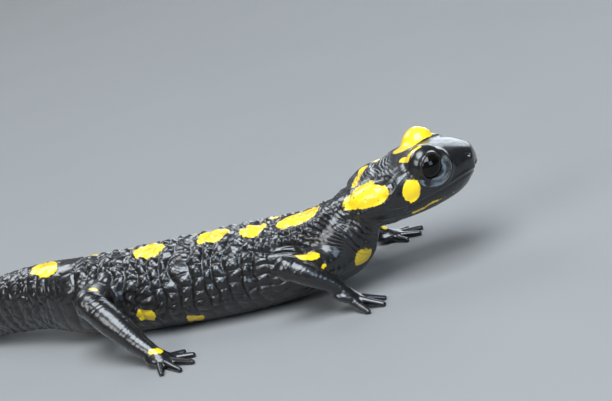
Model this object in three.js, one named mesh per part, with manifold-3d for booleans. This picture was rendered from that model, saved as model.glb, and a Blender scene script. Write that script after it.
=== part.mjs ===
// Fire salamander (Salamandra salamandra), life size, standing low with its head raised.
// Millimetres. +X runs forward along the trunk, +Y to the animal's left, +Z up.
// The origin is on the flat of the belly, on the floor, between shoulders and hips.
import * as THREE from 'three';
import { mergeVertices } from 'three/addons/utils/BufferGeometryUtils.js';
import Module from 'manifold-3d';

const wasm = await Module();
wasm.setup();

// ---------------------------------------------------------------- driving dimensions

const GAP = 0.3;               // clearance between neighbouring pieces
const FLOOR = { width: 300, depth: 12 };   // block that planes the flats at z = 0

// Body sections from tail tip to neck: centre line x, y, highest and lowest point, half width,
// and how far the top of the section leans back (its foot goes forward by as much).
const BODY = [
  { at: 'tail tip',    x: -96,  y: 6.5,  top: 1.5,  bottom: -0.1, w: 0.8,  lean: 0 },
  { at: 'tail end',    x: -91,  y: 8.9,  top: 3.7,  bottom: -0.3, w: 2.0,  lean: 0 },
  { at: 'tail third',  x: -82,  y: 11.2, top: 6.3,  bottom: -0.3, w: 3.1,  lean: 0 },
  { at: 'tail middle', x: -70,  y: 11.3, top: 8.9,  bottom: -0.3, w: 4.1,  lean: 0 },
  { at: 'tail half',   x: -58,  y: 9.0,  top: 12.0, bottom: 0.6,  w: 4.8,  lean: 0 },
  { at: 'tail root',   x: -46,  y: 5.6,  top: 14.9, bottom: 2.0,  w: 5.4,  lean: 0 },
  { at: 'tail neck',   x: -36,  y: 2.8,  top: 16.3, bottom: 2.4,  w: 5.9,  lean: 0 },
  { at: 'vent',        x: -28,  y: 1.0,  top: 16.5, bottom: 0.9,  w: 7.0,  lean: 0 },
  { at: 'hips',        x: -20,  y: 0.2,  top: 16.4, bottom: -0.3, w: 8.2,  lean: 0 },
  { at: 'loins',       x: -12,  y: 0,    top: 16.2, bottom: -0.4, w: 9.2,  lean: 0 },
  { at: 'belly rear',  x: -4,   y: 0,    top: 16.2, bottom: -0.4, w: 10.0, lean: 0 },
  { at: 'belly',       x: 4,    y: 0,    top: 16.3, bottom: -0.4, w: 10.2, lean: 0 },
  { at: 'belly front', x: 12,   y: 0,    top: 16.5, bottom: -0.2, w: 9.8,  lean: 0 },
  { at: 'chest',       x: 20,   y: 0,    top: 16.5, bottom: 0.5,  w: 9.1,  lean: 0.2 },
  { at: 'shoulders',   x: 27,   y: 0,    top: 16.9, bottom: 1.7,  w: 8.7,  lean: 1.0 },
  { at: 'neck base',   x: 31,   y: 0.1,  top: 17.8, bottom: 3.6,  w: 8.4,  lean: 2.3 },
  { at: 'neck',        x: 34,   y: 0.2,  top: 18.5, bottom: 6.8,  w: 7.9,  lean: 2.6 },
];
const BODY_SQUARENESS = 2.25;  // exponent of the body's section, 2 is an ellipse
const BODY_SIDES = 18;
const COSTAL = { from: 'hips', to: 'shoulders', folds: 12, depth: 0.45 };   // folds of the flank

// Head, in its own frame: origin at the back of the skull in the plane of the mouth, x forward.
const HEAD_PLACE = { x: 34.0, y: 0.5, z: 16.5, yaw: 15.3, pitch: 0, roll: 2.5 };   // mm, degrees
const HEAD = [
  { x: 2.6,  w: 8.0, top: 3.2, bottom: 4.9,  lean: 1.6 },
  { x: 6.5,  w: 9.1, top: 5.0, bottom: 4.7,  lean: 1.2 },
  { x: 10.5, w: 9.7, top: 6.3, bottom: 4.5,  lean: 0.7 },
  { x: 14.0, w: 9.4, top: 7.1, bottom: 4.3,  lean: 0.2 },
  { x: 17.5, w: 8.5, top: 7.3, bottom: 3.8,  lean: 0 },
  { x: 20.5, w: 7.2, top: 6.9, bottom: 3.1,  lean: 0 },
  { x: 22.8, w: 5.7, top: 6.2, bottom: 2.1,  lean: 0 },
  { x: 24.2, w: 4.4, top: 5.6, bottom: 0.9,  lean: 0 },
  { x: 25.1, w: 3.3, top: 4.9, bottom: -0.1, lean: 0 },
  { x: 25.6, w: 2.2, top: 4.0, bottom: -0.6, lean: 0 },
  { x: 25.9, w: 0.9, top: 3.0, bottom: -1.2, lean: 0 },
];
const HEAD_SQUARENESS = 2.5;
const HEAD_SIDES = 20;
const MOUTH = { corner: 10.6, droop: 0.5, throat: 8.6, depth: 9 };    // slit and back of the jaw
const EYE = { x: 16.4, y: 7.1, z: 5.5, radius: 2.7 };
const LID = { x: 16.1, y: 5.7, z: 5.6, radius: 3.65 };                 // the bulge round each eye
const NOSTRIL = { x: 24.35, y: 3.75, z: 4.0, radius: 0.35 };
const PAROTOID = { x: 5.0, y: 5.7, z: 2.3, length: 10.2, width: 5.2, height: 4.6, toe: 14, tilt: 10 };

// Legs: centre line points and radii from the root to the middle of the foot.
// The third point is the elbow or knee and the fifth is the wrist or ankle.
// The arch is the extra height of the palm over toes that keep their tips on the floor.
const LEGS = {
  front_right: {
    names: ['upper_arm', 'forearm', 'hand'], heading: 4, arch: 1.8,
    path: [[30.2, -4.6, 8.6, 3.3], [28.0, -9.6, 9.0, 2.6], [22.7, -13.6, 11.2, 2.3],
      [26.8, -14.0, 9.1, 2.2], [30.2, -13.2, 6.3, 1.7], [32.0, -12.8, 3.8, 1.4]],
  },
  front_left: {
    names: ['upper_arm', 'forearm', 'hand'], heading: 14, arch: 0,
    path: [[30.2, 4.6, 9.0, 3.3], [28.0, 10.4, 9.6, 2.9], [23.4, 15.2, 9.6, 2.3],
      [25.8, 17.8, 7.6, 2.1], [29.6, 19.6, 4.4, 1.6], [32.8, 20.6, 1.7, 1.3]],
  },
  hind_right: {
    names: ['thigh', 'shin', 'foot'], heading: -20, arch: 0,
    path: [[-20, -4.5, 8.8, 4.0], [-19.8, -10.4, 11.0, 3.6], [-18.4, -15.0, 12.2, 2.9],
      [-13.6, -17.8, 8.4, 2.9], [-8.6, -20.4, 4.2, 2.1], [-5.0, -22.2, 1.9, 1.6]],
  },
  hind_left: {
    names: ['thigh', 'shin', 'foot'], heading: 48, arch: 0,
    path: [[-20, 4.5, 8.4, 3.9], [-20.6, 10.4, 9.0, 3.4], [-21.0, 15.8, 8.7, 2.6],
      [-24.0, 18.6, 6.6, 2.5], [-26.4, 21.4, 3.7, 1.9], [-25.4, 24.6, 1.8, 1.5]],
  },
};
const LEG_SIDES = 9;
const PALM = { length: 5.2, width: 4.6, height: 2.4, sink: 0.4 };   // sunk below the leg's last point
const FINGERS = [{ turn: -42, reach: 5.1 }, { turn: -14, reach: 6.8 }, { turn: 12, reach: 7.2 }, { turn: 40, reach: 5.5 }];
const TOES = [{ turn: -56, reach: 5.2 }, { turn: -27, reach: 7.0 }, { turn: -3, reach: 8.2 },
  { turn: 20, reach: 8.0 }, { turn: 46, reach: 5.9 }];
const TOE_RADII = [0.95, 0.8, 0.7, 0.45];               // root to tip
const TOE_HEIGHTS = [1.2, 0.9, 0.6, 0.3];
const TOE_SIDES = 5;

const BLACK = { color: '#0b0b0d', roughness: 0.28, metalness: 0 };
const YELLOW = { color: '#e6bd10', roughness: 0.35, metalness: 0 };
const EYE_BLACK = { color: '#050404', roughness: 0.05, metalness: 0 };

// ---------------------------------------------------------------- shape tools

const rad = THREE.MathUtils.degToRad;
const v3 = (x, y, z) => new THREE.Vector3(x, y, z);
const steps = (count) => Array.from({ length: count + 1 }, (_, k) => k / count);
const between = (from, to, count) => steps(count).map((u) => from + (to - from) * u);

/** Signed power: keeps the sign of a sine or cosine in a superellipse. */
const power = (value, exponent) => Math.sign(value) * Math.abs(value) ** exponent;

/** A smooth curve through rows of up to three numbers, one row to each whole parameter. */
function through(rows) {
  const curve = new THREE.CatmullRomCurve3(rows.map((row) => v3(...row)), false, 'catmullrom');
  const last = rows.length - 1;
  return {
    last,
    at: (s) => curve.getPoint(s / last),
    along: (s) => curve.getTangent(s / last),
    /** The parameter `mm` further along the curve from s. */
    shifted: (s, mm) => {
      const near = THREE.MathUtils.clamp(s, 0.01, last - 0.01);
      const speed = curve.getPoint((near + 0.01) / last).distanceTo(curve.getPoint((near - 0.01) / last)) / 0.02;
      return s + mm / speed;
    },
  };
}

/** Merges a closed geometry's vertices and hands it to the boolean library. */
function toSolid(geometry) {
  const bare = geometry.clone();
  bare.deleteAttribute('normal');
  bare.deleteAttribute('uv');
  const merged = mergeVertices(bare, 1e-4);
  return new wasm.Manifold(new wasm.Mesh({
    numProp: 3,
    vertProperties: new Float32Array(merged.attributes.position.array),
    triVerts: new Uint32Array(merged.index.array),
  }));
}

function toGeometry(solid) {
  const { vertProperties, triVerts, numProp } = solid.getMesh();
  const positions = new Float32Array(triVerts.length * 3);
  triVerts.forEach((vertex, corner) => {
    for (let axis = 0; axis < 3; axis++) {
      positions[corner * 3 + axis] = vertProperties[vertex * numProp + axis];
    }
  });
  const geometry = new THREE.BufferGeometry();
  geometry.setAttribute('position', new THREE.BufferAttribute(positions, 3));
  geometry.computeVertexNormals();
  return geometry;
}

/** A closed solid through rings of equal count, each end fanned to its centre. */
function loft(rings) {
  const sides = rings[0].length;
  const points = rings.flat();
  const centre = (ring) => ring.reduce((sum, p) => sum.add(p), v3(0, 0, 0)).divideScalar(sides);
  const start = points.push(centre(rings[0])) - 1;
  const end = points.push(centre(rings.at(-1))) - 1;
  const lastRing = (rings.length - 1) * sides;
  const faces = [];
  for (let k = 0; k < sides; k++) {
    const next = (k + 1) % sides;
    for (let r = 0; r + 1 < rings.length; r++) {
      const [a, b] = [r * sides + k, r * sides + next];
      faces.push(a, b, b + sides, a, b + sides, a + sides);
    }
    faces.push(start, next, k, end, lastRing + k, lastRing + next);
  }
  const volume = faces.reduce((sum, _, f) => (f % 3 ? sum
    : sum + points[faces[f]].dot(v3(0, 0, 0).crossVectors(points[faces[f + 1]], points[faces[f + 2]]))), 0);
  const geometry = new THREE.BufferGeometry().setFromPoints(points);
  geometry.setIndex(volume > 0 ? faces : faces.toReversed());
  return toSolid(geometry);
}

/** Superellipse ring about a centre: `across` and `up` are its half axes as vectors. */
function ring(centre, across, up, sides, squareness) {
  return Array.from({ length: sides }, (_, k) => {
    const angle = (2 * Math.PI * k) / sides;
    return centre.clone()
      .addScaledVector(across, power(Math.cos(angle), 2 / squareness))
      .addScaledVector(up, power(Math.sin(angle), 2 / squareness));
  });
}

/** Round tube along a curve of centres and a curve of radii, a ring at each parameter. */
function tube(centres, radii, parameters, sides, extra = 0) {
  return loft(parameters.map((s) => {
    const along = centres.along(s);
    const side = v3(0, 0, 1).cross(along).normalize();
    const up = along.clone().cross(side);
    const r = radii.at(s).x + extra;
    return ring(centres.at(s), side.multiplyScalar(r), up.multiplyScalar(r), sides, 2);
  }));
}

function ellipsoid(lengths, matrix, around, down) {
  const geometry = new THREE.SphereGeometry(0.5, around, down);
  geometry.applyMatrix4(matrix.clone().scale(v3(...lengths)));
  return toSolid(geometry);
}

/** The main body of a cut solid, without the slivers beside it. */
const largest = (solid) => solid.decompose().sort((a, b) => b.volume() - a.volume())[0];

const floorBlock = toSolid(new THREE.BoxGeometry(FLOOR.width, FLOOR.width, FLOOR.depth)
  .translate(0, 0, -FLOOR.depth / 2));

// ---------------------------------------------------------------- body

const headMatrix = new THREE.Matrix4()
  .makeRotationFromEuler(new THREE.Euler(rad(HEAD_PLACE.roll), -rad(HEAD_PLACE.pitch), rad(HEAD_PLACE.yaw), 'ZYX'))
  .setPosition(HEAD_PLACE.x, HEAD_PLACE.y, HEAD_PLACE.z);

// The neck runs on into the first sections of the head, so both share one surface.
const nape = HEAD.slice(0, 2).map(({ x, w, top, bottom, lean }) => {
  const centre = v3(x, 0, (top - bottom) / 2).applyMatrix4(headMatrix);
  const half = (top + bottom) / 2;
  return { at: 'skull', x: centre.x, y: centre.y, top: centre.z + half, bottom: centre.z - half, w, lean };
});
const sections = [...BODY, ...nape];
const stationOf = (name) => BODY.findIndex(({ at }) => at === name);
const SKULL = BODY.length;

const bodyLine = through(sections.map(({ x, y, top, bottom }) => [x, y, (top + bottom) / 2]));
const bodySize = through(sections.map(({ w, top, bottom, lean }) => [w, (top - bottom) / 2, lean]));

/** Depth of the folds in the flank at station s. */
function foldDepth(s) {
  const [from, to] = [stationOf(COSTAL.from), stationOf(COSTAL.to)];
  if (s < from || s > to) return 0;
  return COSTAL.depth * Math.sin((Math.PI * COSTAL.folds * (s - from)) / (to - from)) ** 2;
}

function bodyRing(s, extra = 0) {
  const along = bodyLine.along(s).setZ(0).normalize();
  const { x: w, y: h, z: lean } = bodySize.at(s);
  const across = v3(0, 0, 1).cross(along).multiplyScalar(w + extra - foldDepth(s));
  const up = v3(0, 0, h + extra).addScaledVector(along, -lean);
  return ring(bodyLine.at(s), across, up, BODY_SIDES, BODY_SQUARENESS);
}

/** Length of the body between two stations, each end drawn back by half a gap. */
function bodyLength(from, to, rings) {
  const [s0, s1] = [bodyLine.shifted(from, GAP / 2), bodyLine.shifted(to, -GAP / 2)];
  return loft(between(s0, s1, rings).map((s) => bodyRing(s)));
}

const grownTrunk = loft(between(stationOf('tail neck'), SKULL, 40).map((s) => bodyRing(s, GAP)));

// ---------------------------------------------------------------- head

const headWidths = through(HEAD.map(({ x, w, lean }) => [x, w, lean]));
const headDepths = through(HEAD.map(({ top, bottom }) => [top, bottom, 0]));

function headRing(s) {
  const { x, y: w, z: lean } = headWidths.at(s);
  const { x: top, y: bottom } = headDepths.at(s);
  const half = (top + bottom) / 2;
  const points = ring(v3(x, 0, (top - bottom) / 2), v3(0, w, 0), v3(-lean, 0, half), HEAD_SIDES, HEAD_SQUARENESS);
  return points.map((p) => p.applyMatrix4(headMatrix));
}

/** Block that holds the lower jaw: under the mouth's slit and in front of the throat. */
function jawBlock(shrink) {
  const outline = new THREE.Shape();
  const snout = HEAD.at(-1).x + 5;
  outline.moveTo(snout, -shrink);
  outline.quadraticCurveTo((snout + MOUTH.corner) / 2, MOUTH.droop - shrink, MOUTH.corner + shrink, -MOUTH.droop - shrink);
  outline.lineTo(MOUTH.throat + shrink, -MOUTH.depth);
  outline.lineTo(snout, -MOUTH.depth);
  outline.closePath();
  const geometry = new THREE.ExtrudeGeometry(outline, { depth: 30, bevelEnabled: false, curveSegments: 6 });
  geometry.translate(0, 0, -15).rotateX(Math.PI / 2);
  return toSolid(geometry.applyMatrix4(headMatrix));
}

/** Block whose rear face is the sloping back of the head, drawn back by the gap. */
function headBlock() {
  const { x, top, bottom, lean } = HEAD[0];
  const size = 60;
  const geometry = new THREE.BoxGeometry(size, size, size)
    .translate(size / 2 - GAP, 0, 0)
    .rotateY(-Math.atan2(lean, (top + bottom) / 2))
    .translate(x, 0, (top - bottom) / 2);
  return toSolid(geometry.applyMatrix4(headMatrix));
}

/** Ball at a place of the head given for the left side, mirrored to `side`. */
function headBall({ x, y, z, radius }, side, extra = 0, around = 12) {
  const size = 2 * (radius + extra);
  const place = headMatrix.clone().multiply(new THREE.Matrix4().makeTranslation(x, side * y, z));
  place.multiply(new THREE.Matrix4().makeRotationX(Math.PI / 2));
  return ellipsoid([size, size, size], place, around, around / 2 + 1);
}

/** Poison gland behind the eye, an oval cushion along the side of the head. */
function parotoid(side, extra = 0) {
  const place = headMatrix.clone().multiply(new THREE.Matrix4()
    .makeRotationFromEuler(new THREE.Euler(0, -rad(PAROTOID.tilt), side * rad(PAROTOID.toe), 'ZYX'))
    .setPosition(PAROTOID.x, side * PAROTOID.y, PAROTOID.z));
  const size = [PAROTOID.length, PAROTOID.width, PAROTOID.height].map((d) => d + 2 * extra);
  return ellipsoid(size, place, 12, 8);
}

// ---------------------------------------------------------------- legs

/** Toe from the middle of the foot at x, y; `yaw` is its direction in plan, in degrees. */
function toe([x, y], yaw, reach, arch) {
  const last = TOE_RADII.length - 1;
  const points = TOE_HEIGHTS.map((height, k) => {
    const r = (reach * k) / last;
    return [x + Math.cos(rad(yaw)) * r, y + Math.sin(rad(yaw)) * r, height + arch * (1 - k / last)];
  });
  return tube(through(points), through(TOE_RADII.map((r) => [r, 0, 0])), between(0, last, last), TOE_SIDES);
}

/** One length of a leg: a tube through rows of x, y, z and radius, with a ball at its far joint. */
function legLength(rows, extra = 0) {
  const centres = through(rows.map(([x, y, z]) => [x, y, z]));
  const radii = through(rows.map(([, , , r]) => [r, 0, 0]));
  const [x, y, z, r] = rows.at(-1);
  const size = 2 * (r + extra);
  const joint = ellipsoid([size, size, size], new THREE.Matrix4().makeTranslation(x, y, z), LEG_SIDES, 5);
  return tube(centres, radii, between(0, centres.last, 2 * centres.last), LEG_SIDES, extra).add(joint);
}

/** The three lengths of a leg: each is cut back by the one before it, grown by the gap. */
function leg({ path, heading, arch, names }, side) {
  const [upper, lower, ankle] = [path.slice(0, 3), path.slice(2, 5), path.slice(4, 6)];
  const [x, y, z] = path.at(-1);
  const palmPlace = new THREE.Matrix4()
    .makeRotationFromEuler(new THREE.Euler(0, Math.atan2(arch, PALM.length), rad(heading), 'ZYX'))
    .setPosition(x, y, z - PALM.sink);
  const palm = ellipsoid([PALM.length, PALM.width, PALM.height], palmPlace, LEG_SIDES, 5);
  const digits = names[2] === 'hand' ? FINGERS : TOES;
  const foot = digits.reduce((whole, { turn, reach }) => (
    whole.add(toe([x, y], heading + side * turn, reach, arch))
  ), legLength(ankle).add(palm));
  return [
    largest(legLength(upper).subtract(grownTrunk)),
    largest(legLength(lower).subtract(legLength(upper, GAP))),
    largest(foot.subtract(legLength(lower, GAP))),
  ];
}

// ---------------------------------------------------------------- assembly

const salamander = new THREE.Group();

/** Adds a named piece, planed flat where it meets the floor. */
function add(name, solid, material) {
  const mesh = new THREE.Mesh(toGeometry(solid.subtract(floorBlock)), new THREE.MeshStandardMaterial(material));
  mesh.name = name;
  salamander.add(mesh);
}

const bothSides = { left: 1, right: -1 };
const glands = Object.values(bothSides).map((side) => parotoid(side, GAP));
const withoutGlands = (solid) => glands.reduce((rest, gland) => rest.subtract(gland), solid);

let skull = loft(between(0, headWidths.last, 12).map((s) => headRing(s)));
const jaw = skull.intersect(jawBlock(GAP / 2));
for (const side of Object.values(bothSides)) skull = skull.add(headBall(LID, side));
skull = skull.subtract(jawBlock(-GAP / 2));
for (const side of Object.values(bothSides)) {
  skull = skull.subtract(headBall(EYE, side, GAP)).subtract(headBall(NOSTRIL, side, 0, 6));
}
add('head', withoutGlands(skull), BLACK);
add('lower_jaw', jaw, BLACK);
for (const [name, side] of Object.entries(bothSides)) {
  add(`eye_${name}`, headBall(EYE, side), EYE_BLACK);
  add(`parotoid_${name}`, parotoid(side), YELLOW);
}

const LENGTHS = [
  { name: 'tail_tip', from: 'tail tip', to: 'tail middle', rings: 6 },
  { name: 'tail_middle', from: 'tail middle', to: 'tail root', rings: 5 },
  { name: 'tail_base', from: 'tail root', to: 'vent', rings: 5 },
  { name: 'trunk_rear', from: 'vent', to: 'loins', rings: 8 },
  { name: 'trunk_middle', from: 'loins', to: 'belly front', rings: 12 },
  { name: 'trunk_front', from: 'belly front', to: 'shoulders', rings: 8 },
];
for (const { name, from, to, rings } of LENGTHS) {
  add(name, bodyLength(stationOf(from), stationOf(to), rings), BLACK);
}
add('neck', withoutGlands(bodyLength(stationOf('shoulders'), SKULL + 0.6, 7).subtract(headBlock())), BLACK);

for (const [name, plan] of Object.entries(LEGS)) {
  const pieces = leg(plan, name.endsWith('left') ? 1 : -1);
  plan.names.forEach((part, k) => add(`${name}_${part}`, pieces[k], BLACK));
}

export default salamander;
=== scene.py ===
"""Fire salamander: one wet skin with its yellow markings, and two eyes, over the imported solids.

Sizes are in millimetres in the row frame until a mesh is made: +X forward along the trunk,
+Y to the animal's left, +Z up, the floor at z = 0.
"""
import math

import bpy
import numpy as np
from mathutils import Euler, Matrix, Vector, noise


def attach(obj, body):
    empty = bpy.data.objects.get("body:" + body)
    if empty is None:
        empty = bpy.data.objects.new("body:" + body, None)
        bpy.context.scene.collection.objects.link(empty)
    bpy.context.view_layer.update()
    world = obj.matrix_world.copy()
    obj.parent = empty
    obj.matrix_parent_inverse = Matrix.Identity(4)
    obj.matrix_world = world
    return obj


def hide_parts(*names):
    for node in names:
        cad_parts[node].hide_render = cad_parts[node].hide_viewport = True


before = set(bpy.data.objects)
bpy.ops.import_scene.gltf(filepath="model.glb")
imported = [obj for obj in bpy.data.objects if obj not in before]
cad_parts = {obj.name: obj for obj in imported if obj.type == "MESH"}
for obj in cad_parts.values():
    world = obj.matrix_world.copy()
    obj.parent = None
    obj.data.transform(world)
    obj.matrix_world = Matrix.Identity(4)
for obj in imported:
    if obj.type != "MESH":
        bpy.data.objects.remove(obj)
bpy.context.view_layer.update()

MM = 0.001

# ------------------------------------------------------------------ the solids' own sizes

# x, y, top, bottom, half width, lean of the section, from the tail's tip to the neck
BODY = [
    (-96, 6.5, 1.5, -0.1, 0.8, 0), (-91, 8.9, 3.7, -0.3, 2.0, 0), (-82, 11.2, 6.3, -0.3, 3.1, 0),
    (-70, 11.3, 8.9, -0.3, 4.1, 0), (-58, 9.0, 12.0, 0.6, 4.8, 0), (-46, 5.6, 14.9, 2.0, 5.4, 0),
    (-36, 2.8, 16.3, 2.4, 5.9, 0), (-28, 1.0, 16.5, 0.9, 7.0, 0), (-20, 0.2, 16.4, -0.3, 8.2, 0),
    (-12, 0, 16.2, -0.4, 9.2, 0), (-4, 0, 16.2, -0.4, 10.0, 0), (4, 0, 16.3, -0.4, 10.2, 0),
    (12, 0, 16.5, -0.2, 9.8, 0), (20, 0, 16.5, 0.5, 9.1, 0.2), (27, 0, 16.9, 1.7, 8.7, 1.0),
    (31, 0.1, 17.8, 3.6, 8.4, 2.3), (34, 0.2, 18.5, 6.8, 7.9, 2.6),
]
VENT, HIPS, SHOULDERS, NECK = 7, 8, 14, 16            # rows of BODY
BODY_SQUARENESS = 2.25
STATION = 40                                # samples of a loft to each of its rows

HEAD_PLACE = dict(x=34.0, y=0.5, z=16.5, yaw=15.3, pitch=0.0, roll=2.5)
# x, half width, top, bottom, lean, in the head's frame: the mouth is the plane z = 0
HEAD = [
    (2.6, 8.0, 3.2, 4.9, 1.6), (6.5, 9.1, 5.0, 4.7, 1.2), (10.5, 9.7, 6.3, 4.5, 0.7),
    (14.0, 9.4, 7.1, 4.3, 0.2), (17.5, 8.5, 7.3, 3.8, 0), (20.5, 7.2, 6.9, 3.1, 0),
    (22.8, 5.7, 6.2, 2.1, 0), (24.2, 4.4, 5.6, 0.9, 0), (25.1, 3.3, 4.9, -0.1, 0),
    (25.6, 2.2, 4.0, -0.6, 0), (25.9, 0.9, 3.0, -1.2, 0),
]
HEAD_SQUARENESS = 2.5
EYE = dict(place=(16.4, 7.1, 5.5), radius=2.7)
LID = dict(place=(16.1, 5.7, 5.6), radius=3.65)
NOSTRIL = (24.35, 3.75, 4.0)
PAROTOID = dict(place=(5.0, 5.7, 2.3), size=(10.2, 5.2, 4.6), toe=14, tilt=10)

# x, y, z, radius from the root to the middle of the foot: the third row is the elbow or knee
LEGS = {
    "front_right": dict(side=-1, heading=4, arch=1.8, path=[
        (30.2, -4.6, 8.6, 3.3), (28.0, -9.6, 9.0, 2.6), (22.7, -13.6, 11.2, 2.3),
        (26.8, -14.0, 9.1, 2.2), (30.2, -13.2, 6.3, 1.7), (32.0, -12.8, 3.8, 1.4)]),
    "front_left": dict(side=1, heading=14, arch=0, path=[
        (30.2, 4.6, 9.0, 3.3), (28.0, 10.4, 9.6, 2.9), (23.4, 15.2, 9.6, 2.3),
        (25.8, 17.8, 7.6, 2.1), (29.6, 19.6, 4.4, 1.6), (32.8, 20.6, 1.7, 1.3)]),
    "hind_right": dict(side=-1, heading=-20, arch=0, path=[
        (-20, -4.5, 8.8, 4.0), (-19.8, -10.4, 11.0, 3.6), (-18.4, -15.0, 12.2, 2.9),
        (-13.6, -17.8, 8.4, 2.9), (-8.6, -20.4, 4.2, 2.1), (-5.0, -22.2, 1.9, 1.6)]),
    "hind_left": dict(side=1, heading=48, arch=0, path=[
        (-20, 4.5, 8.4, 3.9), (-20.6, 10.4, 9.0, 3.4), (-21.0, 15.8, 8.7, 2.6),
        (-24.0, 18.6, 6.6, 2.5), (-26.4, 21.4, 3.7, 1.9), (-25.4, 24.6, 1.8, 1.5)]),
}
FINGERS = [(-42, 5.1), (-14, 6.8), (12, 7.2), (40, 5.5)]            # turn in degrees, reach
TOES = [(-56, 5.2), (-27, 7.0), (-3, 8.2), (20, 8.0), (46, 5.9)]
TOE_RADII = [0.95, 0.8, 0.72, 0.55]
TOE_HEIGHTS = [1.2, 0.9, 0.62, 0.45]
PALM = dict(size=(5.2, 4.6, 2.4), sink=0.4)

VOXEL = 0.17         # spacing of the skin's mesh

# mm over which each form melts into its neighbour
BLEND = dict(neck=1.6, muzzle=0.8, eyelid=0.8, lid=1.1, gland=0.9, snout=1.0,
             knee=0.8, toe=0.55, leg=2.2, foot=0.7)

# ------------------------------------------------------------------ sizes of the skin's relief

# mm that each kind of relief stands out of the skin or goes into it
HEIGHT = dict(fold=0.90, flank_grain=0.03, back_grain=0.13, belly_grain=0.10,
              tail_ring=0.34, tail_grain=0.20, neck_fold=0.55, bead=0.62, bead_groove=0.20,
              armpit=0.9, spine_pore=0.18, spine_furrow=0.22, throat_fold=0.24, leg_wrinkle=0.05,
              temple=0.12, throat=0.13, head_grain=0.035, temple_ridge=0.42, eye_rim=0.42,
              eye_groove=0.24, nostril_rim=0.06, nostril=0.60, lip=0.34, slit=0.38, jaw=0.24,
              gland_furrow=0.24, gland_pore=0.16)
# mm of depth of the wrinkles that the material draws
CREASE = dict(neck=0.20, temple=0.24, throat=0.14)
# length and width of the rounded grains
GRAINS = dict(flank=(1.5, 1.7, 1), back=(2.1, 2.0, 1), belly=(1.9, 1.6, 1), tail=(2.3, 1.9, 1))
FOLD = 2.9                                  # mm from one upright fold of the flank to the next
PAD = 2.7                                   # height of the swollen pads in a fold
TAIL_RING = 2.9                             # mm from one ring of the tail to the next
TEMPLE_CREASE, THROAT_CREASE = 0.75, 0.85   # mm from one wrinkle to the next
# where the neck's folds meet on each side, the angle between two, and how far each mm inwards
# carries a fold forward and up
FAN = dict(x=38.0, y=8.0, z=8.6, spacing=0.105, forward=0.364, rise=0.325)
BEAD = 1.4                                  # mm from one bead to the next
SPINE_PORE = dict(every=1.9, beside=1.5)    # mm along the back, and off its middle line
BEAD_ROWS = [(57, 12.9, 14.8), (43, 12.3, 13.6)]        # degrees up from the side, first and last row
ARMPIT = (22.6, 8.9, 13.6)                  # on the left, in the row frame
# in the head's frame, on its left side
EYELID = 3.1                                # radius of the skin over the eyeball
SNOUT_TIP = dict(place=(22.8, 0, 2.3), radius=2.9, end=25.5)
TEMPLE_RIDGE = [(12.0, 7.9, 6.0), (8.2, 8.6, 3.4)]
RIM = dict(groove=3.2, ridge=4.0)           # mm from the eye's axis
# x and z of the slit between the lips, from the jaw's corner to the snout
MOUTH = [(9.8, -0.6), (12.0, -0.4), (14.0, -0.1), (16.5, 0.25), (19.0, 0.5), (21.5, 0.85),
         (24.0, 0.85), (26.5, 0.6)]
EYE_AXIS = np.array([0.52, 0.85, 0.02])     # where the eye looks
EYE_AXIS /= np.linalg.norm(EYE_AXIS)
LID_SIDE = np.array([-0.70, 0.0, 0.71])     # where the upper lid hangs lowest, up and behind
OPENING = math.radians(63)                  # half the angle between the lids
# mm of the lids' gap over the eyeball, of their rounded rim, of the skin's tuck inside the opening and
# of the skin off the eyeball that they take with them; how far round they go, and the upper lid's droop
LIDS = dict(gap=0.13, rim=0.14, tuck=0.35, reach=1.8, round=math.radians(125), droop=0.16)

# ------------------------------------------------------------------ arithmetic


def step(low, high, x):
    """0 below low, 1 above high, smooth between them."""
    t = np.clip((x - low) / (high - low), 0, 1)
    return t * t * (3 - 2 * t)


def within(low, high, x, soft):
    """1 between low and high, 0 outside, with soft edges."""
    return step(low - soft, low + soft, x) * (1 - step(high - soft, high + soft, x))


def smooth_union(a, b, blend):
    h = np.maximum(blend - np.abs(a - b), 0) / blend
    return np.minimum(a, b) - h * h * blend / 4


def length(v):
    return np.sqrt((v * v).sum(1))


def spline(rows, count):
    """A uniform Catmull-Rom curve through the rows, at count even parameters."""
    p = np.array(rows, float)
    p = np.vstack([2 * p[0] - p[1], p, 2 * p[-1] - p[-2]])
    t = np.linspace(0, len(rows) - 1, count)
    k = np.minimum(t.astype(int), len(rows) - 2)
    f = (t - k)[:, None]
    a, b, c, d = p[k], p[k + 1], p[k + 2], p[k + 3]
    return 0.5 * (2 * b + (c - a) * f + (2 * a - 5 * b + 4 * c - d) * f**2
                  + (3 * b - a - 3 * c + d) * f**3)


def grain(p, size, shift=0.0):
    """Smooth noise from -1 to 1 with lumps of about that size."""
    q = np.asarray(p) / np.asarray(size, float) + shift
    return np.array([noise.noise(v) for v in q.tolist()])


def cells(p, size, shift=0.0):
    """(distance to the nearest seed, to the second nearest), in cell sizes."""
    q = np.asarray(p) / np.asarray(size, float) + shift
    found = np.array([noise.voronoi(v)[0][:2] for v in q.tolist()])
    return found[:, 0], found[:, 1]


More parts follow.
